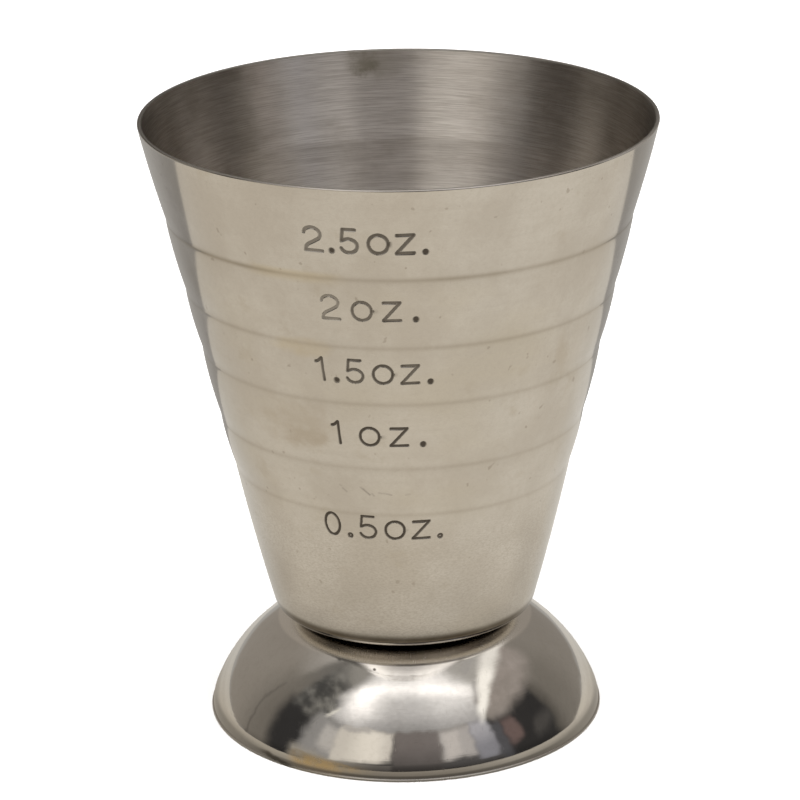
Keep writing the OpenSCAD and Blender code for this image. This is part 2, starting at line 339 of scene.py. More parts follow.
def build_cup(mats):
    rings = Rings()
    coarse = -math.pi + TAU * np.arange(160) / 160
    sparse = -math.pi + TAU * np.arange(96) / 96
    zones = label_zones()
    chain = []

    # underside of the floor and the corner
    chain.append((rings.point(FLOOR_Z, -1), 0))
    for r in (4.0, 9.0, 12.5, corner[0][0]):
        chain.append((rings.ring(coarse, r, FLOOR_Z, 0, -1), 0))
    for p in corner[1:]:
        d = (p - np.array(corner_c)) / CORNER_R
        chain.append((rings.ring(coarse, p[0], p[1], d[0], d[1]), 0))

    # outer wall heights
    zs = set()
    z = corner[-1][1]
    edges = sorted(LEDGE_GROOVE)
    while z < RIM_Z - 0.6:
        near = min(abs(z - e) for e in edges)
        up = min((z - e) for e in edges if z >= e) if z >= edges[0] else 9
        step = 0.05 if near < 0.20 else 0.10 if near < 0.6 else 0.2 if near < 1.6 or up < FILLET + 0.2 else 0.55
        z += step
        zs.add(round(z, 4))
    for k in zones:
        zs = {q for q in zs if not (k.z0 - 0.04 <= q <= k.z1 + 0.04 and min(abs(q - e) for e in edges) > 0.2)}
        zs |= set(np.round(np.arange(k.z0, k.z1 + 1e-6, k.step), 4))
    zs = sorted(q for q in zs if corner[-1][1] + 0.05 < q < RIM_Z - 0.3)
    zs = [q for i, q in enumerate(zs) if i == 0 or q - zs[i - 1] > 0.02]

    for q in zs:
        k = next((k for k in zones if k.z0 - 1e-6 <= q <= k.z1 + 1e-6), None)
        ang = coarse
        if k is not None:
            ang = k.angles(sparse, float(wall_r(0.5 * (k.z0 + k.z1))))
        r = float(wall_r(q) - groove(np.array(q)))
        e = 0.02
        slope = float((wall_r(q + e) - groove(np.array(q + e)) - wall_r(q - e) + groove(np.array(q - e))) / (2 * e))
        c = 1 / math.hypot(1, slope)
        nr, nz = c, -slope * c
        grime = ledge_dirt_and_shade(q, ang)
        if k is None:
            chain.append((rings.ring(ang, r, q, nr, nz, grime=grime, ink=0.0), 0))
            continue
        zz = np.full(ang.shape, q)
        h, dark = k.field(ang, zz)
        e = 0.03
        hu = (k.field(ang + e / r, zz)[0] - k.field(ang - e / r, zz)[0]) / (2 * e)
        hv = (k.field(ang, zz + e)[0] - k.field(ang, zz - e)[0]) / (2 * e)
        i = rings.ring(ang, r - h * nr, q - h * nz, nr, nz, grime=grime, ink=dark)
        t = np.stack([np.cos(ang), np.sin(ang), np.zeros_like(ang)], 1)
        up = np.stack([slope * c * np.sin(ang), -slope * c * np.cos(ang), np.full(ang.shape, c)], 1)
        rings.n[-1] = rings.n[-1] + hu[:, None] * t + hv[:, None] * up
        chain.append((i, 0))

    # rim: outside edge, flat top and inside edge, all slightly rounded
    s = float((wall_r(RIM_Z) - wall_r(RIM_Z - 0.3)) / 0.3)
    c = 1 / math.hypot(1, s)
    lean = math.atan(s)
    rr = 0.235
    inner_top = RIM_R - SHEET / c
    base = RIM_R - rr * (math.tan(lean) + 1 / math.cos(lean))
    for a in np.linspace(-lean, math.pi / 2, 7):
        x = (base + rr * math.cos(a), RIM_Z - rr + rr * math.sin(a))
        chain.append((rings.ring(coarse, x[0], x[1], math.cos(a), math.sin(a), rim=float(smooth(a, 0.1, 1.3))), 0))
    base = inner_top + rr * (1 / math.cos(lean) - math.tan(lean))
    for a in np.linspace(math.pi / 2, math.pi - lean, 7):
        x = (base + rr * math.cos(a), RIM_Z - rr + rr * math.sin(a))
        chain.append((rings.ring(coarse, x[0], x[1], math.cos(a), math.sin(a), rim=1.0), 0))

    # inside wall: the outer wall moved in by the sheet's thickness
    zi = []
    z = RIM_Z - 0.35
    while z > corner[-1][1] + 0.35:
        near = min(abs(z - e) for e in edges)
        up = min((z - e) for e in edges if z >= e) if z >= edges[0] else 9
        zi.append(z)
        z -= 0.15 if near < 0.4 else 0.28 if up < FILLET + 0.3 else 0.65
    for q in zi:
        e = 0.05
        slope = float((wall_r(q + e) - wall_r(q - e)) / (2 * e))
        c = 1 / math.hypot(1, slope)
        chain.append((rings.ring(coarse, float(wall_r(q)) - SHEET * c, q + SHEET * slope * c, -c, slope * c), 1))
    inside_c = CORNER_R - SHEET
    for p in arc_pts(corner_c, inside_c, -lean0, -90, 10):
        d = (p - np.array(corner_c)) / inside_c
        chain.append((rings.ring(coarse, p[0], p[1], -d[0], -d[1]), 1))
    floor = FLOOR_Z + SHEET
    for r in np.concatenate([np.arange(14.0, 9.0, -0.8), np.arange(9.0, 3.5, -0.2), np.arange(3.4, 0.9, -0.6)]):
        h = weld_mark(coarse, r)
        e = 0.05
        i = rings.ring(coarse, r, floor - h, 0, 1)
        hr = (weld_mark(coarse, r + e) - weld_mark(coarse, r - e)) / (2 * e)
        ht = (weld_mark(coarse + e / r, r) - weld_mark(coarse - e / r, r)) / (2 * e)
        rings.n[-1] = rings.n[-1] + hr[:, None] * np.stack([np.sin(coarse), -np.cos(coarse), 0 * coarse], 1) \
            + ht[:, None] * np.stack([np.cos(coarse), np.sin(coarse), 0 * coarse], 1)
        chain.append((i, 1))
    chain.append((rings.point(floor, 1), 1))
    for (a, _), (b, m) in zip(chain[:-1], chain[1:]):
        rings.join(a, b, m)
    return rings.mesh("cup_body", mats)


def fall(p, slope, steps, per=2.5):
    """Points and slopes of a line that falls away outwards: [length, radius, new slope]."""
    pts, sl = [tuple(p)], [slope]
    for run, rad, new in steps:
        a = math.radians(slope)
        q = (p[0] + run * math.cos(a), p[1] - run * math.sin(a))
        if run > 0:
            n = max(1, int(run / 0.6)) if run < 4 else 5
            for i in range(1, n + 1):
                pts.append((p[0] + (q[0] - p[0]) * i / n, p[1] + (q[1] - p[1]) * i / n))
                sl.append(slope)
        w = 1 if new > slope else -1
        n = max(2, int(abs(new - slope) / per))
        for t in np.linspace(slope, new, n + 1)[1:]:
            b = math.radians(t)
            pts.append((q[0] + w * rad * (math.sin(b) - math.sin(a)), q[1] + w * rad * (math.cos(b) - math.cos(a))))
            sl.append(t)
        p, slope = pts[-1], new
    return np.array(pts), np.array(sl)


CROWN_Z, CROWN_R, FOOT_T, LIP_W, LIP_H = 13.9, 8.8, 0.5, 0.06, 0.3
BEND_R, SHOULDER_R, SKIRT_R, SKIRT_A = 13.0, 34.0, 5.4, 86.0


def foot_line():
    """The bell from the middle of its crown to the end of its skirt."""
    c = [math.cos(math.radians(k)) for k in (35, 39, 68, SKIRT_A)]
    turn = LIP_W * 0.8
    lip_z = LIP_H + turn * (1 - c[3])
    flank = (CROWN_Z - BEND_R * (1 - c[0]) - SHOULDER_R * (c[0] - c[1]) - SKIRT_R * (c[2] - c[3]) - lip_z - 0.1) \
        / (c[1] - c[2])
    return fall((0.0, CROWN_Z), 0.0, [[CROWN_R, BEND_R, 35], [0, SHOULDER_R, 39], [0, flank, 68], [0, SKIRT_R, SKIRT_A]], 1.0)


def build_foot(mats):
    rings = Rings()
    N = 288
    coarse = -math.pi + TAU * np.arange(N) / N
    p, sl = foot_line()
    a = np.radians(sl)
    chain = []
    chain.append((rings.point(CROWN_Z, 1), 0))
    for (r, z), t in list(zip(p, a))[1:]:
        chain.append((rings.ring(coarse, r, z, math.sin(t), math.cos(t)), 0))
    end = p[-1]
    turn = LIP_W * 0.8
    t0 = math.radians(SKIRT_A)
    lip_z = LIP_H + turn * (1 - math.cos(t0))
    x0 = end[0] + (end[1] - lip_z) / math.tan(t0)
    chain.append((rings.ring(coarse, x0, lip_z, math.sin(t0), math.cos(t0), lip=0.0), 0))
    for t in np.radians(np.linspace(SKIRT_A, 0, 7))[1:]:
        chain.append((rings.ring(coarse, x0 + turn * (math.sin(t0) - math.sin(t)),
                                 lip_z + turn * (math.cos(t0) - math.cos(t)), math.sin(t), math.cos(t), lip=0.5), 0))
    edge = x0 + LIP_W + 0.10
    er = 0.10
    for t in np.radians(np.linspace(90, -90, 13)):
        z = LIP_H / 2 + (LIP_H / 2 - er) * (1 if t > 0 else -1 if t < 0 else 0) + er * math.sin(t)
        chain.append((rings.ring(coarse, edge - er + er * math.cos(t), z, math.cos(t), math.sin(t), lip=1.0), 0))
    chain.append((rings.ring(coarse, x0 - FOOT_T * 0.75, 0.0, 0, -1), 1))
    for t in np.radians([-60, -30, 0]):
        chain.append((rings.ring(coarse, x0 - FOOT_T + 0.12 - 0.12 * math.cos(t), 0.12 + 0.12 * math.sin(t),
                                 -math.cos(t), math.sin(t)), 1))
    # inside of the bell, back up to the crown
    for (r, z), t in list(zip(p, a))[:0:-1]:
        r2, z2 = r - FOOT_T * math.sin(t), z - FOOT_T * math.cos(t)
        if r2 > CROWN_R + 0.05:
            chain.append((rings.ring(coarse, r2, z2, -math.sin(t), -math.cos(t)), 1))
    top = CROWN_Z - FOOT_T
    for r in np.concatenate([np.arange(CROWN_R, 3.5, -0.2), np.arange(3.4, 0.9, -0.6)]):
        h = weld_mark(coarse, r)
        e = 0.05
        i = rings.ring(coarse, r, top + h, 0, -1)
        hr = (weld_mark(coarse, r + e) - weld_mark(coarse, r - e)) / (2 * e)
        ht = (weld_mark(coarse + e / r, r) - weld_mark(coarse - e / r, r)) / (2 * e)
        rings.n[-1] = rings.n[-1] + hr[:, None] * np.stack([np.sin(coarse), -np.cos(coarse), 0 * coarse], 1) \
            + ht[:, None] * np.stack([np.cos(coarse), np.sin(coarse), 0 * coarse], 1)
        chain.append((i, 1))
    chain.append((rings.point(top, -1), 1))
    # this line runs from the top down, so each pair is joined the other way round
    for (x, _), (y, m) in zip(chain[:-1], chain[1:]):
        rings.join(y, x, m)
    return rings.mesh("foot_body", mats)


# ---------------------------------------------------------------- materials

class Mat:
    """A small helper for node trees."""

    def __init__(self, name):
        self.m = bpy.data.materials.new(name)
        self.m.use_nodes = True
        self.t = self.m.node_tree
        self.t.nodes.clear()
        self.out = self.t.nodes.new("ShaderNodeOutputMaterial")
        self.bsdf = self.t.nodes.new("ShaderNodeBsdfPrincipled")
        self.t.links.new(self.bsdf.outputs[0], self.out.inputs[0])
        self.co = self.t.nodes.new("ShaderNodeTexCoord").outputs["Object"]

    def link(self, a, b):
        self.t.links.new(a, b)

    def put(self, sock, val):
        if hasattr(val, "is_output"):
            self.link(val, sock)
        else:
            sock.default_value = val

    def scaled(self, scale, rot=(0, 0, 0), loc=(0, 0, 0)):
        n = self.t.nodes.new("ShaderNodeMapping")
        n.vector_type = "POINT"
        n.inputs["Scale"].default_value = scale
        n.inputs["Rotation"].default_value = rot
        n.inputs["Location"].default_value = loc
        self.link(self.co, n.inputs["Vector"])
        return n.outputs[0]

    def noise(self, vec, scale=1.0, detail=3.0, rough=0.55, distort=0.0):
        n = self.t.nodes.new("ShaderNodeTexNoise")
        n.inputs["Scale"].default_value = scale
        n.inputs["Detail"].default_value = detail
        n.inputs["Roughness"].default_value = rough
        n.inputs["Distortion"].default_value = distort
        self.link(vec, n.inputs["Vector"])
        return n.outputs["Fac"]

    def math(self, op, a, b=0.0, c=0.0, clamp=False):
        n = self.t.nodes.new("ShaderNodeMath")
        n.operation = op
        n.use_clamp = clamp
        self.put(n.inputs[0], a)
        self.put(n.inputs[1], b)
        self.put(n.inputs[2], c)
        return n.outputs[0]

    def ramp(self, x, a, b, lo=0.0, hi=1.0, kind="SMOOTHSTEP"):
        n = self.t.nodes.new("ShaderNodeMapRange")
        n.interpolation_type = kind
        n.inputs["From Min"].default_value = a
        n.inputs["From Max"].default_value = b
        n.inputs["To Min"].default_value = lo
        n.inputs["To Max"].default_value = hi
        self.link(x, n.inputs["Value"])
        return n.outputs[0]

    def mix(self, f, a, b, kind="MIX"):
        n = self.t.nodes.new("ShaderNodeMix")
        n.data_type = "RGBA"
        n.blend_type = kind
        self.put(n.inputs[0], f)
        for sock, val in ((n.inputs[6], a), (n.inputs[7], b)):
            if hasattr(val, "is_output"):
                self.link(val, sock)
            else:
                sock.default_value = (*val, 1.0)
        return n.outputs[2]

    def attr(self, name):
        n = self.t.nodes.new("ShaderNodeAttribute")
        n.attribute_name = name
        return n.outputs["Fac"]

    def xyz(self):
        n = self.t.nodes.new("ShaderNodeSeparateXYZ")
        self.link(self.co, n.inputs[0])
        return n.outputs

    def bump(self, h, strength, dist, normal=None):
        n = self.t.nodes.new("ShaderNodeBump")
        n.inputs["Strength"].default_value = strength
        n.inputs["Distance"].default_value = dist
        self.link(h, n.inputs["Height"])
        if normal is not None:
            self.link(normal, n.inputs["Normal"])
        return n.outputs[0]

    def set(self, **kw):
        for k, v in kw.items():
            self.put(self.bsdf.inputs[k.replace("_", " ")], v)


def cup_outside():
    m = Mat("steel_cup_outside")
    x, y, z = m.xyz()
    rings = m.noise(m.scaled((140, 140, 9000)), 1, 3, 0.6)
    rings_wide = m.noise(m.scaled((45, 45, 900)), 1, 3, 0.6)
    cloud = m.noise(m.scaled((110, 110, 90)), 1, 4, 0.6)
    patch = m.noise(m.scaled((42, 42, 55), loc=(3.1, 1.7, 0.4)), 1, 3, 0.55)
    grain = m.noise(m.scaled((1500, 1500, 1500)), 1, 2, 0.6)
    hair = m.noise(m.scaled((5200, 5200, 130), rot=(0.0, 0.35, 0.0)), 1, 2, 0.5)
    scratch = m.ramp(hair, 0.71, 0.78)
    col = m.mix(m.ramp(cloud, 0.36, 0.64), (0.592, 0.560, 0.512), (0.668, 0.642, 0.600))
    col = m.mix(m.ramp(patch, 0.50, 0.70, 0, 0.60), col, (0.600, 0.560, 0.480))
    blot = m.noise(m.scaled((210, 210, 260), loc=(7.7, 0.4, 2.9)), 1, 3, 0.6)
    col = m.mix(m.ramp(blot, 0.60, 0.76, 0, 0.45), col, (0.520, 0.475, 0.400))
    speck = m.noise(m.scaled((900, 900, 900), loc=(0.2, 5.1, 1.3)), 1, 1, 0.5)
    col = m.mix(m.ramp(speck, 0.725, 0.785, 0, 0.50), col, (0.33, 0.29, 0.24))
    col = m.mix(m.ramp(rings_wide, 0.35, 0.75, 0, 0.30), col, (0.575, 0.545, 0.500))
    col = m.mix(m.ramp(grain, 0.40, 0.75, 0, 0.16), col, (0.500, 0.470, 0.425))
    # duller and grainier below the lowest ledge
    sand = m.noise(m.scaled((2700, 2700, 6500), loc=(3.3, 0.8, 1.1)), 1, 2, 0.6)
    dull_and_shade = m.math("MULTIPLY", m.ramp(sand, 0.34, 0.70, 0.0, 0.55), m.ramp(z, 0.027, 0.034, 1.0, 0.22))
    col = m.mix(dull_and_shade, col, (0.470, 0.440, 0.395))
    col = m.mix(m.math("MULTIPLY", scratch, 0.22), col, (0.40, 0.375, 0.34))
    # yellowed metal by the top ledge, left of the middle
    gold = m.math("MULTIPLY", m.ramp(z, 0.0640, 0.0652), m.ramp(z, 0.0654, 0.0662, 1.0, 0.0))
    gold = m.math("MULTIPLY", gold, m.math("MULTIPLY", m.ramp(x, -0.0190, -0.0150), m.ramp(x, -0.0110, -0.0050, 1.0, 0.0)))
    gold = m.math("MULTIPLY", gold, m.ramp(y, -0.010, -0.018))
    col = m.mix(m.math("MULTIPLY", gold, 0.34), col, (0.650, 0.548, 0.335))
    smear = m.noise(m.scaled((420, 420, 520), loc=(2.7, 1.1, 0.6)), 1, 3, 0.6)
    face = m.ramp(y, -0.006, -0.012)

    def spot(x0, z0, rx, rz, wander, most):
        u = m.math("DIVIDE", m.math("SUBTRACT", x, x0), rx)
        v = m.math("DIVIDE", m.math("SUBTRACT", z, z0), rz)
        r2 = m.math("ADD", m.math("MULTIPLY", u, u), m.math("MULTIPLY", v, v))
        r2 = m.math("MULTIPLY_ADD", m.math("SUBTRACT", smear, 0.5), wander, r2)
        return m.math("MULTIPLY", m.ramp(r2, -0.4, 2.0, most, 0.0), face)

    col = m.mix(spot(-0.0115, 0.0557, 0.0030, 0.0011, 3.0, 0.34), col, (0.610, 0.510, 0.315))
    col = m.mix(spot(-0.0121, 0.0449, 0.0046, 0.0030, 3.4, 0.40), col, (0.470, 0.412, 0.322))
    col = m.mix(spot(-0.0112, 0.0434, 0.0022, 0.0012, 7.0, 0.24), col, (0.410, 0.345, 0.255))
    col = m.mix(spot(0.0190, 0.0524, 0.0008, 0.0026, 2.4, 0.34), col, (0.480, 0.415, 0.325))
    # dirt and painted shade in the ledge creases
    grime = m.math("MULTIPLY", m.attr("grime"), m.ramp(patch, 0.32, 0.64, 0.65, 1.25), clamp=True)
    col = m.mix(grime, col, (0.270, 0.230, 0.170))
    # painted shade in the bottom corner and under the floor
    ring = m.math("MULTIPLY", m.ramp(z, 0.01445, 0.01490), m.ramp(z, 0.01510, 0.01600, 1.0, 0.0))
    col = m.mix(m.math("MULTIPLY", ring, m.ramp(blot, 0.25, 0.6, 0.74, 0.95)), col, (0.135, 0.110, 0.078))
    col = m.mix(m.ramp(z, 0.01400, 0.01430, 0.15, 0.0), col, (0.230, 0.200, 0.160))
    rim = m.attr("rim")
    col = m.mix(m.math("MULTIPLY", rim, 0.9), col, (0.545, 0.515, 0.472))
    ink = m.attr("ink")
    ink = m.math("MULTIPLY", ink, m.ramp(cloud, 0.25, 0.6, 0.86, 1.0), clamp=True)
    col = m.mix(m.math("MULTIPLY", ink, 0.90), col, (0.048, 0.037, 0.028))
    rough = m.math("ADD", m.ramp(cloud, 0.3, 0.7, 0.085, 0.125), m.ramp(rings, 0.35, 0.7, 0.0, 0.03))
    rough = m.math("ADD", rough, m.math("MULTIPLY", ink, 0.30))
    rough = m.math("ADD", rough, m.math("MULTIPLY", rim, 0.50))
    h = m.math("ADD", m.math("MULTIPLY", rings, 0.5), m.math("MULTIPLY", cloud, 0.9))
    nrm = m.bump(h, 0.10, 0.00004)
    m.set(Base_Color=col, Metallic=1.0, Roughness=rough, Normal=nrm)
    return m.m


def cup_inside():
    m = Mat("steel_cup_inside")
    x, y, z = m.xyz()
    fine = m.noise(m.scaled((260, 260, 13000)), 1, 3, 0.65)
    mid = m.noise(m.scaled((130, 130, 3600), loc=(1.3, 0.2, 4.1)), 1, 3, 0.6)
    wide = m.noise(m.scaled((40, 40, 600), loc=(4.3, 2.2, 0.7)), 1, 2, 0.5)
    cloud = m.noise(m.scaled((150, 150, 190), loc=(0.5, 2.2, 0.3)), 1, 4, 0.6)
    lines = m.math("ADD", m.math("MULTIPLY", fine, 0.68), m.math("MULTIPLY", mid, 0.32))
    col = m.mix(m.ramp(lines, 0.38, 0.62), (0.648, 0.607, 0.560), (0.895, 0.856, 0.808))
    col = m.mix(m.ramp(wide, 0.50, 0.72, 0, 0.30), col, (0.54, 0.505, 0.46))
    col = m.mix(m.ramp(cloud, 0.48, 0.76, 0, 0.40), col, (0.46, 0.415, 0.360))
    # a dried drop at the back of the rim
    wob = m.noise(m.scaled((460, 460, 460), loc=(1.9, 0.3, 0.8)), 1, 4, 0.65)
    back = m.ramp(y, 0.010, 0.015)

    def blob(x0, z0, rx, rz, wander):
        u = m.math("DIVIDE", m.math("SUBTRACT", x, x0), rx)
        v = m.math("DIVIDE", m.math("SUBTRACT", z, z0), rz)
        r2 = m.math("ADD", m.math("MULTIPLY", u, u), m.math("MULTIPLY", v, v))
        return m.math("MULTIPLY_ADD", m.math("SUBTRACT", wob, 0.5), wander, r2)

    film = m.math("MULTIPLY", m.ramp(blob(-0.0024, 0.0755, 0.0042, 0.0020, 2.2), 0.2, 1.8, 0.44, 0.0), back)
    film = m.math("MULTIPLY", film, m.ramp(x, -0.0040, 0.0020, 1.0, 0.45))
    col = m.mix(film, col, (0.415, 0.382, 0.292))
    q = blob(-0.0044, 0.0754, 0.0017, 0.0016, 3.6)
    drop = m.math("MULTIPLY", m.ramp(q, 0.2, 1.8, 0.58, 0.0), m.ramp(wob, 0.36, 0.60, 1.0, 0.35))
    col = m.mix(m.math("MULTIPLY", drop, back), col, (0.285, 0.252, 0.178))
    rough = m.math("ADD", m.ramp(mid, 0.3, 0.7, 0.29, 0.34), m.ramp(cloud, 0.3, 0.7, 0.0, 0.03))
    nrm = m.bump(lines, 0.26, 0.00003)
    tan = m.t.nodes.new("ShaderNodeTangent")
    tan.direction_type = "RADIAL"
    tan.axis = "Z"
    m.link(tan.outputs[0], m.bsdf.inputs["Tangent"])
    m.set(Base_Color=col, Metallic=1.0, Roughness=rough, Normal=nrm, Anisotropic=1.0, Anisotropic_Rotation=0.25)
    return m.m


def foot_outside():
    m = Mat("steel_foot_outside")
    x, y, z = m.xyz()
    cloud = m.noise(m.scaled((120, 120, 120)), 1, 4, 0.6)
    rings = m.noise(m.scaled((60, 60, 5200)), 1, 3, 0.6)
    patch = m.noise(m.scaled((60, 60, 90), loc=(2.1, 0.7, 0.9)), 1, 3, 0.55)
    grain = m.noise(m.scaled((1700, 1700, 1700)), 1, 2, 0.6)
    s1 = m.ramp(m.noise(m.scaled((6000, 260, 900), rot=(0.2, 0.3, 0.5)), 1, 1, 0.5), 0.70, 0.76)
    s2 = m.ramp(m.noise(m.scaled((320, 5600, 1000), rot=(0.5, -0.2, 0.35)), 1, 1, 0.5), 0.71, 0.77)
    s3 = m.ramp(m.noise(m.scaled((5200, 5200, 240), rot=(0.3, -0.5, 0.0)), 1, 1, 0.5), 0.72, 0.78)
    scr = m.math("ADD", m.math("ADD", s1, s2), s3, clamp=True)
    col = m.mix(m.ramp(cloud, 0.30, 0.72), (0.605, 0.580, 0.540), (0.650, 0.628, 0.592))
    col = m.mix(m.ramp(grain, 0.45, 0.75, 0, 0.14), col, (0.47, 0.445, 0.41))
    # dull just above the lip with painted contact shade, most of all in front, and yellowed left of the middle
    front = m.ramp(y, -0.0262, -0.0200, 1.0, 0.0, "LINEAR")
    low = m.ramp(m.math("MULTIPLY_ADD", m.math("SUBTRACT", front, 1.0), 0.0005, z), 0.0009, 0.0021, 1.0, 0.0)
    dull_and_shade = m.math("MULTIPLY", low, m.math("ADD", m.math("MULTIPLY", front, 0.42), 0.38))
    # the painted shade is taken off the lip's edge in front
    lip_unshaded = m.math("MULTIPLY", m.attr("lip"), m.ramp(y, -0.0266, -0.0252, 0.0, 0.85))
    dull_and_shade = m.math("MULTIPLY", dull_and_shade, m.math("SUBTRACT", 1.0, lip_unshaded))
    col = m.mix(dull_and_shade, col, (0.100, 0.088, 0.078))
    turn = m.math("ARCTAN2", x, m.math("MULTIPLY", y, -1.0))
    spot = m.math("MULTIPLY", m.ramp(turn, -0.67, -0.55), m.ramp(turn, -0.42, -0.12, 1.0, 0.0))
    fray = m.noise(m.scaled((380, 380, 520), loc=(0.9, 3.1, 2.2)), 1, 3, 0.6)
    edge = m.math("ADD", m.math("MULTIPLY_ADD", turn, 0.0020, z), m.math("MULTIPLY", fray, 0.0012))
    spot = m.math("MULTIPLY", spot, m.ramp(edge, 0.0015, 0.0020, 1.0, 0.0))
    tarnish = m.math("MULTIPLY", m.math("MULTIPLY", spot, m.ramp(fray, 0.32, 0.62, 0.42, 1.0)), m.ramp(z, 0.0004, 0.0012, 0.25, 1.0))
    col = m.mix(m.math("MULTIPLY", tarnish, 0.92), col, m.mix(m.ramp(fray, 0.40, 0.62), (0.550, 0.430, 0.255), (0.615, 0.455, 0.240)))
    streak = m.math("MULTIPLY", m.ramp(turn, -0.86, -0.76), m.ramp(turn, -0.66, -0.56, 1.0, 0.0))
    run = m.math("MULTIPLY_ADD", m.math("SUBTRACT", fray, 0.5), 0.0012, m.math("MULTIPLY_ADD", m.math("ADD", turn, 0.70), 0.0020, z))
    streak = m.math("MULTIPLY", streak, m.math("MULTIPLY", m.ramp(run, 0.0001, 0.0003), m.ramp(run, 0.0005, 0.0009, 1.0, 0.0)))
    col = m.mix(m.math("MULTIPLY", streak, 0.72), col, (0.085, 0.070, 0.052))
    # a pit near the crown
    px, pz = m.math("SUBTRACT", x, -0.00381), m.math("SUBTRACT", z, 0.01124)
    pit = m.math("ADD", m.math("MULTIPLY", px, px), m.math("MULTIPLY", m.math("MULTIPLY", pz, pz), 3.0))
    pit = m.math("MULTIPLY", m.ramp(m.math("SQRT", pit), 0.00011, 0.00026, 1.0, 0.0), m.ramp(y, -0.010, -0.014))
    col = m.mix(m.math("MULTIPLY", pit, 0.88), col, (0.045, 0.036, 0.028))
    # paler where the two sheets nearly touch: painted light on a rougher band; painted shade on the crown under the cup
    painted_light_band = m.math("MULTIPLY", m.ramp(z, 0.01160, 0.01190), m.ramp(z, 0.01264, 0.01280, 1.0, 0.0))
    col = m.mix(m.math("MULTIPLY", painted_light_band, 0.80), col, (0.810, 0.770, 0.710))
    # painted shade on the crown under the cup
    col = m.mix(m.ramp(z, 0.01263, 0.01284, 0.0, 0.89), col, (0.050, 0.043, 0.036))
    col = m.mix(m.math("MULTIPLY", scr, 0.12), col, (0.42, 0.395, 0.36))
    rough = m.math("ADD", m.ramp(cloud, 0.3, 0.7, 0.045, 0.085), m.math("MULTIPLY", scr, 0.06))
    rough = m.math("ADD", rough, m.math("MULTIPLY", tarnish, 0.24))
    rough = m.math("MULTIPLY_ADD", painted_light_band, 0.17, rough)
    rough = m.math("ADD", rough, m.math("MULTIPLY", m.attr("lip"), 0.22))
    h = m.math("ADD", m.math("MULTIPLY", cloud, 1.0), m.math("MULTIPLY", scr, -0.12))
    h = m.math("ADD", h, m.math("MULTIPLY", rings, 0.3))
    nrm = m.bump(h, 0.14, 0.00004)
    m.set(Base_Color=col, Metallic=1.0, Roughness=rough, Normal=nrm)
    return m.m


def foot_inside():
    m = Mat("steel_foot_inside")
    cloud = m.noise(m.scaled((120, 120, 120), loc=(0.4, 0.9, 1.3)), 1, 4, 0.6)
    rings = m.noise(m.scaled((40, 40, 2600)), 1, 3, 0.6)
    grain = m.noise(m.scaled((2200, 2200, 2200)), 1, 2, 0.6)
    col = m.mix(m.ramp(cloud, 0.3, 0.7), (0.46, 0.44, 0.41), (0.55, 0.53, 0.50))
    col = m.mix(m.ramp(rings, 0.4, 0.7, 0, 0.35), col, (0.40, 0.38, 0.35))
    rough = m.math("ADD", m.ramp(cloud, 0.3, 0.7, 0.26, 0.38), m.ramp(grain, 0.3, 0.7, 0.0, 0.06))
    nrm = m.bump(m.math("ADD", rings, grain), 0.2, 0.00004)
    m.set(Base_Color=col, Metallic=1.0, Roughness=rough, Normal=nrm)
    return m.m


def weld_metal():
    m = Mat("steel_weld")
    cloud = m.noise(m.scaled((900, 900, 900)), 1, 4, 0.6)
    col = m.mix(m.ramp(cloud, 0.3, 0.7), (0.20, 0.18, 0.16), (0.33, 0.31, 0.29))
    m.set(Base_Color=col, Metallic=1.0, Roughness=m.ramp(cloud, 0.3, 0.7, 0.4, 0.6), Normal=m.bump(cloud, 0.4, 0.00005))
    return m.m


# ---------------------------------------------------------------- pieces

cup = build_cup([cup_outside(), cup_inside()])
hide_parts("cup")
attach(cup, "root")

foot = build_foot([foot_outside(), foot_inside()])
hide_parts("foot")
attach(foot, "root")

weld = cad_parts["spot_welds"]
weld.data.materials.clear()
weld.data.materials.append(weld_metal())

# ---------------------------------------------------------------- floor, light, camera

scene = bpy.context.scene
scene.view_settings.view_transform = "Standard"
scene.view_settings.look = "None"
scene.view_settings.exposure = 0.0
scene.view_settings.gamma = 1.0


def plane(name, corners, z):
    me = bpy.data.meshes.new(name)
    me.from_pydata([(a, b, z) for a, b in corners], [], [tuple(range(len(corners)))])
    ob = bpy.data.objects.new(name, me)
    scene.collection.objects.link(ob)
    return ob


def glow(name, colour, strength):
    m = bpy.data.materials.new(name)
    m.use_nodes = True
    t = m.node_tree
    t.nodes.clear()
    o = t.nodes.new("ShaderNodeOutputMaterial")
    e = t.nodes.new("ShaderNodeEmission")
    e.inputs[0].default_value = (*colour, 1)
    e.inputs[1].default_value = strength
    t.links.new(e.outputs[0], o.inputs[0])
    return m


floor = plane("floor", [(-4, -4), (4, -4), (4, 4), (-4, 4)], -0.00002)
fm = bpy.data.materials.new("floor_pale")
fm.use_nodes = True
nt = fm.node_tree
nt.nodes.clear()
fo = nt.nodes.new("ShaderNodeOutputMaterial")
fd = nt.nodes.new("ShaderNodeBsdfDiffuse")
fd.inputs[0].default_value = (0.93, 0.93, 0.93, 1)
ft = nt.nodes.new("ShaderNodeBsdfTransparent")
fg = nt.nodes.new("ShaderNodeNewGeometry")
fx = nt.nodes.new("ShaderNodeMixShader")
nt.links.new(fg.outputs["Backfacing"], fx.inputs[0])
nt.links.new(fd.outputs[0], fx.inputs[1])
nt.links.new(ft.outputs[0], fx.inputs[2])
nt.links.new(fx.outputs[0], fo.inputs[0])
floor.data.materials.append(fm)
floor.visible_glossy = False

# the table top as the steel sees it: a warm board that ends behind the object
board = plane("board", [(-0.9, -1.2), (0.9, -1.2), (0.9, 0.118), (0.12, 0.098), (-0.12, 0.066), (-0.9, 0.05)], -0.0001)
bm = glow("board_warm", (0.778, 0.712, 0.610), 1.0)
bt = bm.node_tree
bc = bt.nodes.new("ShaderNodeTexCoord")
bs = bt.nodes.new("ShaderNodeVectorMath")
bs.operation = "LENGTH"
bt.links.new(bc.outputs["Object"], bs.inputs[0])


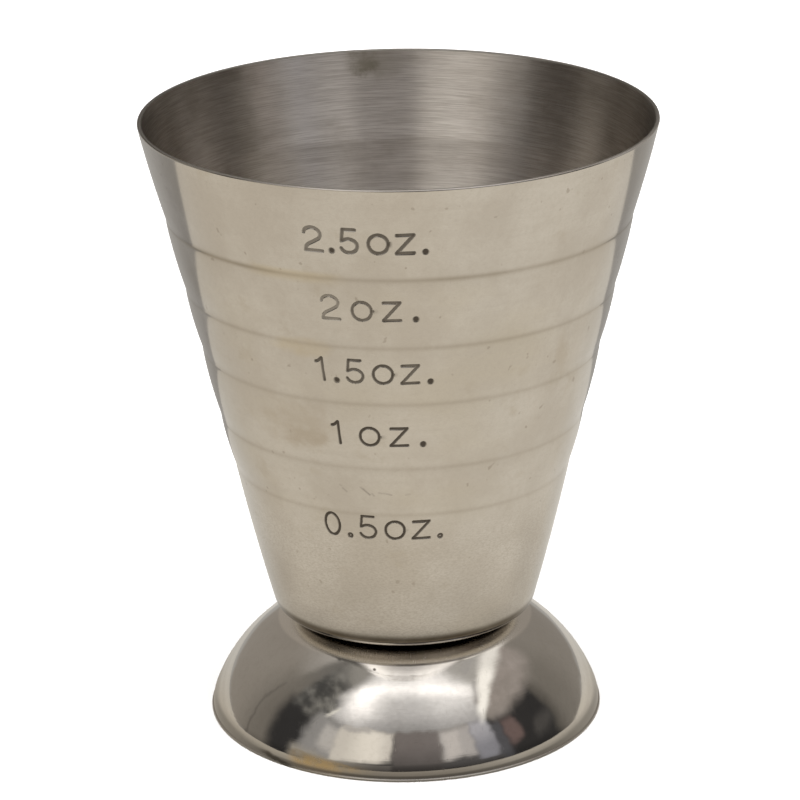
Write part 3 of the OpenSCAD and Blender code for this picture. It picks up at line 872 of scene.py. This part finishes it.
def bramp(x, a, b, lo, hi):
    n = bt.nodes.new("ShaderNodeMapRange")
    n.interpolation_type = "SMOOTHSTEP"
    for k, v in zip(("From Min", "From Max", "To Min", "To Max"), (a, b, lo, hi)):
        n.inputs[k].default_value = v
    bt.links.new(x, n.inputs["Value"])
    return n.outputs[0]


def bmath(op, a, b):
    n = bt.nodes.new("ShaderNodeMath")
    n.operation = op
    for s, v in zip(n.inputs, (a, b)):
        if hasattr(v, "is_output"):
            bt.links.new(v, s)
        else:
            s.default_value = v
    return n.outputs[0]


by = bt.nodes.new("ShaderNodeSeparateXYZ")
bt.links.new(bc.outputs["Object"], by.inputs[0])
# the board's glow is turned down near the object: a painted contact shadow, darkest in front, and painted shade beside
# and behind it
contact_shadow = bmath("ADD", bramp(bs.outputs["Value"], 0.0266, 0.0296, 0.36, 0.86), bramp(bs.outputs["Value"], 0.029, 0.044, 0.0, 0.14))
ahead = bramp(bmath("DIVIDE", by.outputs["Y"], bs.outputs["Value"]), -0.80, -0.30, 1.0, 0.0)
beside = bramp(bs.outputs["Value"], 0.024, 0.044, 0.84, 1.0)
behind = bramp(bs.outputs["Value"], 0.036, 0.058, 0.82, 0.95)
round_back = bramp(bmath("DIVIDE", by.outputs["Y"], bs.outputs["Value"]), -0.28, 0.22, 0.0, 1.0)
beside = bmath("ADD", bmath("MULTIPLY", beside, bmath("SUBTRACT", 1.0, round_back)), bmath("MULTIPLY", behind, round_back))
beside = bmath("MULTIPLY", beside, bramp(bs.outputs["Value"], 0.0270, 0.0345, 0.72, 1.0))
strength = bmath("ADD", bmath("MULTIPLY", contact_shadow, ahead), bmath("MULTIPLY", beside, bmath("SUBTRACT", 1.0, ahead)))
strength = bmath("MULTIPLY", strength, bramp(bmath("DIVIDE", by.outputs["X"], bs.outputs["Value"]), -0.9, 0.9, 0.955, 1.03))
bt.links.new(strength, bt.nodes["Emission"].inputs["Strength"])
cool = bt.nodes.new("ShaderNodeMix")
cool.data_type = "RGBA"
cool.inputs[6].default_value = (0.778, 0.712, 0.610, 1)
cool.inputs[7].default_value = (0.738, 0.704, 0.645, 1)
to_back = bramp(bmath("DIVIDE", by.outputs["Y"], bs.outputs["Value"]), 0.05, 0.85, 0.0, 1.0)
to_right = bramp(bmath("DIVIDE", by.outputs["X"], bs.outputs["Value"]), -0.1, 0.8, 0.0, 0.32)
bt.links.new(bmath("MAXIMUM", to_back, to_right), cool.inputs[0])
bt.links.new(cool.outputs[2], bt.nodes["Emission"].inputs["Color"])
board.data.materials.append(bm)
board.visible_camera = False
board.visible_diffuse = False
board.visible_shadow = False
board.visible_transmission = False


def flag(name, a0, a1, r, z0, z1, colour):
    """A curved card that only the steel sees, from one turn to another round the object."""
    t = np.radians(np.linspace(a0, a1, 17))
    ring = [(r * math.sin(k), -r * math.cos(k)) for k in t]
    me = bpy.data.meshes.new(name)
    n = len(ring)
    me.from_pydata([(a, b, z0) for a, b in ring] + [(a, b, z1) for a, b in ring], [],
                   [(i, i + 1, n + i + 1, n + i) for i in range(n - 1)])
    ob = bpy.data.objects.new(name, me)
    scene.collection.objects.link(ob)
    ob.data.materials.append(glow(name, colour, 1.0))
    ob.visible_camera = False
    ob.visible_diffuse = False
    ob.visible_shadow = False
    ob.visible_transmission = False


flag("flag_left", -86.0, -180.0, 0.045, 0.079, 0.165, (0.038, 0.035, 0.032))
flag("flag_right", 101.0, 180.0, 0.045, 0.079, 0.165, (0.054, 0.049, 0.045))
flag("flag_pale", 67.0, 98.0, 0.045, 0.079, 0.093, (0.550, 0.530, 0.510))


def area(name, loc, aim, size, power, colour=(1, 1, 1)):
    d = bpy.data.lights.new(name, "AREA")
    d.shape = "DISK"
    d.size = size
    d.energy = power
    d.color = colour
    o = bpy.data.objects.new(name, d)
    o.location = loc
    o.rotation_mode = "QUATERNION"
    o.rotation_quaternion = (Vector(aim) - Vector(loc)).to_track_quat("-Z", "Y")
    scene.collection.objects.link(o)
    o.visible_glossy = False
    return o


area("overhead", (0.0, -0.1, 1.6), (0, 0, 0), 2.2, 46)

world = bpy.data.worlds.new("studio")
scene.world = world
world.use_nodes = True
wt = world.node_tree
wt.nodes.clear()


def wn(kind, **kw):
    n = wt.nodes.new(kind)
    for k, v in kw.items():
        setattr(n, k, v)
    return n


def wmath(op, a, b=0.0, c=0.0):
    n = wn("ShaderNodeMath", operation=op)
    for s, v in zip(n.inputs, (a, b, c)):
        if hasattr(v, "is_output"):
            wt.links.new(v, s)
        else:
            s.default_value = v
    return n.outputs[0]


def wstep(x, a, b):
    n = wn("ShaderNodeMapRange", interpolation_type="SMOOTHSTEP")
    n.inputs["From Min"].default_value = a
    n.inputs["From Max"].default_value = b
    n.inputs["To Min"].default_value = 0.0
    n.inputs["To Max"].default_value = 1.0
    wt.links.new(x, n.inputs["Value"])
    return n.outputs[0]


def wbetween(x, a, b, soft):
    return wmath("MULTIPLY", wstep(x, a - soft, a + soft), wmath("SUBTRACT", 1.0, wstep(x, b - soft, b + soft)))


def wmix(f, a, b):
    n = wn("ShaderNodeMix", data_type="RGBA")
    wt.links.new(f, n.inputs[0])
    for s, v in ((n.inputs[6], a), (n.inputs[7], b)):
        if hasattr(v, "is_output"):
            wt.links.new(v, s)
        else:
            s.default_value = (*v, 1)
    return n.outputs[2]


tc = wn("ShaderNodeTexCoord")
sep = wn("ShaderNodeSeparateXYZ")
wt.links.new(tc.outputs["Generated"], sep.inputs[0])
dx, dy, dz = sep.outputs
az = wmath("DEGREES", wmath("ARCTAN2", dx, wmath("MULTIPLY", dy, -1.0)))
el = wmath("DEGREES", wmath("ARCSINE", dz))

def wnoise(scale, detail, loc, stretch=(1, 1, 1), rot=(0, 0, 0)):
    m = wn("ShaderNodeMapping")
    m.inputs["Location"].default_value = loc
    m.inputs["Scale"].default_value = stretch
    m.inputs["Rotation"].default_value = rot
    wt.links.new(tc.outputs["Generated"], m.inputs["Vector"])
    n = wn("ShaderNodeTexNoise")
    n.inputs["Scale"].default_value = scale
    n.inputs["Detail"].default_value = detail
    wt.links.new(m.outputs[0], n.inputs["Vector"])
    return n.outputs["Fac"]


# edges of the cards aren't ruler straight
az_true, el_true = az, el
az = wmath("MULTIPLY_ADD", wmath("SUBTRACT", wnoise(7.0, 3.0, (0.3, 1.1, 0.7)), 0.5), 7.0, az)
el = wmath("MULTIPLY_ADD", wmath("SUBTRACT", wnoise(7.0, 3.0, (4.1, 2.3, 5.9)), 0.5), 6.0, el)


def wbox(a0, a1, e0, e1, sa=2.5, se=2.5):
    return wmath("MULTIPLY", wbetween(az, a0, a1, sa), wbetween(el, e0, e1, se))


def wblob(a0, e0, sa, se):
    u = wmath("DIVIDE", wmath("SUBTRACT", az, a0), sa)
    v = wmath("DIVIDE", wmath("SUBTRACT", el, e0), se)
    q = wmath("MULTIPLY_ADD", u, u, wmath("MULTIPLY", v, v))
    return wmath("EXPONENT", wmath("MULTIPLY", q, -1.0))


def wband(mid, half, soft, a0, a1, sa):
    """A streak that follows an elevation."""
    d = wmath("SUBTRACT", wmath("MULTIPLY_ADD", el, 0.4, wscale(el_true, 0.6)), mid)
    return wmath("MULTIPLY", wbetween(d, -half, half, soft), wbetween(az, a0, a1, sa))


def wscale(f, k):
    return wmath("MULTIPLY", f, k)


def wramp(x, a, b, lo, hi):
    n = wn("ShaderNodeMapRange", interpolation_type="SMOOTHSTEP")
    for k, v in zip(("From Min", "From Max", "To Min", "To Max"), (a, b, lo, hi)):
        n.inputs[k].default_value = v
    wt.links.new(x, n.inputs["Value"])
    return n.outputs[0]


def wlerp(x, a, b, lo, hi):
    """A colour that goes from lo to hi."""
    return wmix(wstep(x, a, b), lo, hi)


def wtint(level, tint):
    n = wn("ShaderNodeVectorMath", operation="SCALE")
    n.inputs[0].default_value = tint
    wt.links.new(level, n.inputs["Scale"])
    return n.outputs[0]


# back half: a grey-brown sheet, lighter low down, dimmer towards the front
col = wmix(wstep(el, -34.0, -14.0), (0.30, 0.285, 0.270), (0.47, 0.455, 0.430))
sheet = wlerp(az, -125.0, -96.0, (0.358, 0.325, 0.287), (0.233, 0.212, 0.186))
sheet = wlerp(az, 0.0, 90.0, sheet, (0.138, 0.126, 0.111))
sheet = wlerp(az, 99.0, 112.0, sheet, (0.255, 0.233, 0.206))
sheet = wlerp(az, 112.0, 140.0, sheet, (0.322, 0.294, 0.262))
col = wmix(wstep(el, -3.5, 0.5), col, sheet)
above = wlerp(az, -109.0, -102.0, (0.52, 0.490, 0.455), (0.215, 0.203, 0.188))
above = wlerp(az, 40.0, 100.0, above, (0.52, 0.490, 0.455))
col = wmix(wstep(el, 38.0, 62.0), col, above)
col = wmix(wscale(wbetween(az, -107.5, -105.5, 0.8), wscale(wbetween(el, -4.0, 34.0, 3.0), 0.45)), col, (0.10, 0.09, 0.08))

# front half: dark below, a bright ceiling above
lean_az = wmath("MULTIPLY_ADD", el, 0.30, az)
front = wmath("MULTIPLY", wstep(wmath("MULTIPLY_ADD", el, 0.15, az), -94.0, -82.0), wmath("SUBTRACT", 1.0, wstep(az, 96.0, 102.0)))
col = wmix(wmath("MULTIPLY", front, wbetween(el, -4.5, 37.0, 2.0)), col, (0.046, 0.044, 0.044))
fleck = wstep(wnoise(7.0, 3.0, (2.2, 0.4, 1.9), (2.0, 1.0, 0.6), (0.5, 0.3, 0.6)), 0.34, 0.74)
dark_left = wlerp(el, 56.0, 72.0, wmix(fleck, (0.082, 0.080, 0.077), (0.330, 0.318, 0.292)), (0.41, 0.392, 0.365))
left = wmath("MULTIPLY", wstep(lean_az, -82.5, -75.5), wmath("SUBTRACT", 1.0, wstep(az, -48.0, -40.0)))
col = wmix(wmath("MULTIPLY", left, wstep(el, 32.0, 37.0)), col, dark_left)
col = wmix(wmath("MULTIPLY", wstep(el, 55.0, 60.0), wbetween(az, 58.0, 136.0, 7.0)), col, (0.575, 0.555, 0.525))

level = wmath("ADD", wramp(el, 40.0, 58.0, 0.41, 0.74), wramp(el, 58.0, 76.0, 0.0, 0.20))
level = wmath("MULTIPLY", level, wramp(az, 6.0, 44.0, 1.0, 1.42))
sweep = wmath("DIVIDE", wmath("SUBTRACT", el, wmath("MULTIPLY_ADD", wmath("MULTIPLY", az, az), -0.0033, 74.0)), 6.5)
level = wmath("MULTIPLY_ADD", wmath("EXPONENT", wmath("MULTIPLY", wmath("MULTIPLY", sweep, sweep), -1.0)), 0.65, level)
level = wmath("MULTIPLY_ADD", wblob(-43.0, 57.0, 17.0, 15.0), 1.05, level)
level = wmath("MULTIPLY", level, wramp(wnoise(22.0, 3.0, (1.4, 3.3, 0.2)), 0.30, 0.70, 0.93, 1.07))
left_edge = wmath("SUBTRACT", -58.5, wmath("ADD", wscale(wmath("MAXIMUM", wmath("SUBTRACT", 46.0, el), 0.0), 0.50),
                                           wscale(wmath("MAXIMUM", wmath("SUBTRACT", el, 50.0), 0.0), 0.28)))
soft = wmath("MINIMUM", wmath("MULTIPLY_ADD", wmath("MAXIMUM", wmath("SUBTRACT", el, 44.0), 0.0), 0.75, 1.5), 10.0)
from_edge = wmath("SUBTRACT", az, left_edge)
inside = wmath("MULTIPLY", wstep(wmath("DIVIDE", from_edge, soft), -1.0, 1.0), wmath("SUBTRACT", 1.0, wstep(az, 60.0, 88.0)))
col = wmix(wmath("MULTIPLY", inside, wstep(el, 38.5, 42.0)), col, wtint(level, (1.01, 0.985, 0.975)))
tip = wmath("MULTIPLY", wbetween(from_edge, 0.0, 3.2, 1.2), wbetween(el, 32.0, 47.0, 2.5))
col = wmix(tip, col, (1.15, 1.11, 1.01))

# soft panels in front, from left to right
cream = wmath("MULTIPLY", wbetween(az, -46.0, -8.8, 2.0), wmath("SUBTRACT", 1.0, wstep(el, 38.5, 42.0)))
cream = wmath("MULTIPLY", cream, wstep(wmath("MULTIPLY_ADD", wmath("ADD", az, 40.0), -0.17, el), 12.5, 17.5))
warm = wlerp(az, -42.0, -24.0, (0.87, 0.818, 0.742), (1.12, 1.055, 0.955))
warm = wlerp(az, -20.0, -11.0, warm, (0.93, 0.872, 0.795))
for f, c in (
        (wbox(61.0, 126.0, 35.0, 52.0, 3.0, 5.0), wmix(fleck, (0.41, 0.365, 0.335), (0.50, 0.444, 0.412))),
        (wbox(-68.0, -44.0, 9.0, 41.0, 4.0, 4.0), (0.39, 0.378, 0.370)),
        (wbox(-72.0, -8.0, 0.5, 16.0, 3.0, 3.0), wlerp(az, -48.0, -12.0, (0.460, 0.426, 0.378), (0.205, 0.190, 0.177))),
        (wbox(-57.0, -45.0, 20.0, 36.0, 3.0, 3.0), (0.66, 0.632, 0.600)),
        (cream, warm),
        (wbox(-45.0, -25.0, 37.2, 40.0, 2.0, 1.2), (0.62, 0.590, 0.560)),
        (wbox(-8.0, 22.5, 0.5, 41.0, 1.8, 1.8), wlerp(el, 8.0, 36.0, (0.105, 0.096, 0.093), (0.252, 0.224, 0.215))),
        (wbox(22.0, 43.0, 18.5, 39.5, 1.8, 2.5), (0.60, 0.568, 0.548)),
        (wbox(23.5, 34.0, 21.0, 37.5, 1.8, 2.0), (0.75, 0.705, 0.672)),
        (wbox(20.0, 62.0, 2.0, 17.0, 2.5, 3.0), (0.125, 0.119, 0.119)),
        (wbox(43.0, 57.0, 11.0, 40.0, 2.0, 3.0), wlerp(el, 20.0, 36.0, (0.335, 0.333, 0.372), (0.585, 0.578, 0.622))),
        (wbox(57.5, 64.0, 0.0, 33.0, 2.0, 2.0), (0.12, 0.119, 0.130)),
        (wbox(64.5, 75.0, 16.0, 31.0, 2.0, 3.0), (0.215, 0.155, 0.145)),
        (wbox(84.0, 98.0, 11.0, 19.0, 3.0, 3.0), (0.10, 0.094, 0.090))):
    col = wmix(f, col, c)

# a curved strip light at the right
far = wmath("SUBTRACT", az_true, 94.0)
far = wmath("DIVIDE", wmath("MAXIMUM", wscale(far, 0.92), wscale(far, -1.2)), 11.06)
arch = wmath("SUBTRACT", 55.3, wmath("POWER", far, 1.9))
col = wmix(wscale(wband(wmath("ADD", arch, 5.6), 1.0, 1.3, 60.0, 82.0, 4.0), 0.5), col, (0.36, 0.350, 0.335))
col = wmix(wband(arch, 3.5, 2.3, 56.0, 131.0, 4.0), col, wlerp(az, 94.0, 108.0, (1.48, 1.44, 1.37), (1.20, 1.165, 1.11)))

lp = wn("ShaderNodeLightPath")
bg = wn("ShaderNodeBackground")
wt.links.new(col, bg.inputs[0])
white = wn("ShaderNodeBackground")
white.inputs[0].default_value = (1.0, 1.0, 1.0, 1)
mixw = wn("ShaderNodeMixShader")
wt.links.new(lp.outputs["Is Camera Ray"], mixw.inputs[0])
wt.links.new(bg.outputs[0], mixw.inputs[1])
wt.links.new(white.outputs[0], mixw.inputs[2])
wo = wn("ShaderNodeOutputWorld")
wt.links.new(mixw.outputs[0], wo.inputs[0])

cam_data = bpy.data.cameras.new("camera")
cam_data.sensor_fit = "HORIZONTAL"
cam_data.sensor_width = 36.0
cam_data.lens = 3757.0 / 800 * 36.0
cam_data.clip_start, cam_data.clip_end = 0.01, 50.0
cam = bpy.data.objects.new("camera", cam_data)
scene.collection.objects.link(cam)
pan, tilt, roll = -0.00058, 0.34991, -0.01353
fwd = Vector((math.sin(pan) * math.cos(tilt), math.cos(pan) * math.cos(tilt), -math.sin(tilt)))
right = Vector((math.cos(pan), -math.sin(pan), 0))
up = right.cross(fwd)
r2 = math.cos(roll) * right + math.sin(roll) * up
u2 = -math.sin(roll) * right + math.cos(roll) * up
m = Matrix((r2, u2, -fwd)).transposed().to_4x4()
m.translation = Vector((0.0, -0.43651, 0.19964))
cam.matrix_world = m
scene.camera = cam
